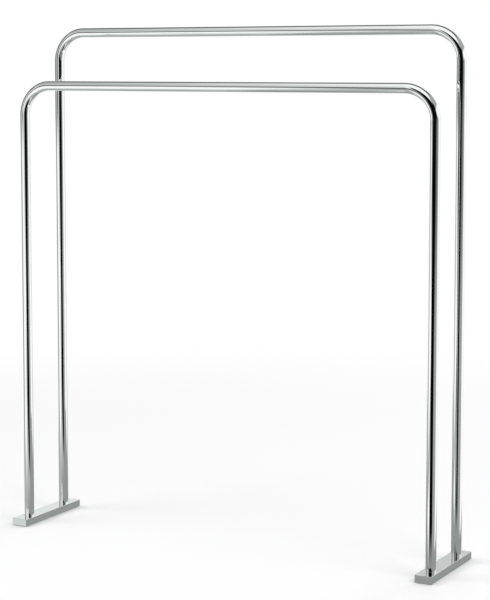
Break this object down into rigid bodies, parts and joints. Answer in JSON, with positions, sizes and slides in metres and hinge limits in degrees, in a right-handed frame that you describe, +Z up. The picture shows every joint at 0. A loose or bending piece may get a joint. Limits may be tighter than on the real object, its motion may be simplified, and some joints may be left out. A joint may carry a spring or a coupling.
{
  "type": "freestanding towel stand",
  "caption": "Freestanding towel stand: a lower and a taller inverted-U rail of bright round tube, one behind the other, standing on flat base bars that run front to back.",
  "frame": {"origin": "on the floor, at the centre of the rectangle that the two base bars cover", "axes": "+X to the right along the rails, +Y to the rear from the lower rail to the taller one, +Z up"},
  "size_m": [0.8424, 0.182, 0.9265],
  "materials": {
    "chrome_tube": "polished chrome plate over steel tube",
    "chrome_bar": "polished chrome plate over flat steel bar",
    "turned_steel": "turned steel",
    "zinc_screw": "zinc-plated steel",
    "zinc_washer": "zinc-plated spring steel",
    "pad_rubber": "matt black rubber"
  },
  "bodies": {
    "root": {"front_rail": "chrome_tube", "rear_rail": "chrome_tube", "left_base_bar": "chrome_bar", "right_base_bar": "chrome_bar", "front_left_leg_slug": "turned_steel", "front_right_leg_slug": "turned_steel", "rear_left_leg_slug": "turned_steel", "rear_right_leg_slug": "turned_steel", "front_left_leg_screw": "zinc_screw", "front_right_leg_screw": "zinc_screw", "rear_left_leg_screw": "zinc_screw", "rear_right_leg_screw": "zinc_screw", "front_left_lock_washer": "zinc_washer", "front_right_lock_washer": "zinc_washer", "rear_left_lock_washer": "zinc_washer", "rear_right_lock_washer": "zinc_washer", "front_left_floor_pad": "pad_rubber", "front_right_floor_pad": "pad_rubber", "rear_left_floor_pad": "pad_rubber", "rear_right_floor_pad": "pad_rubber"}
  },
  "joints": []
}
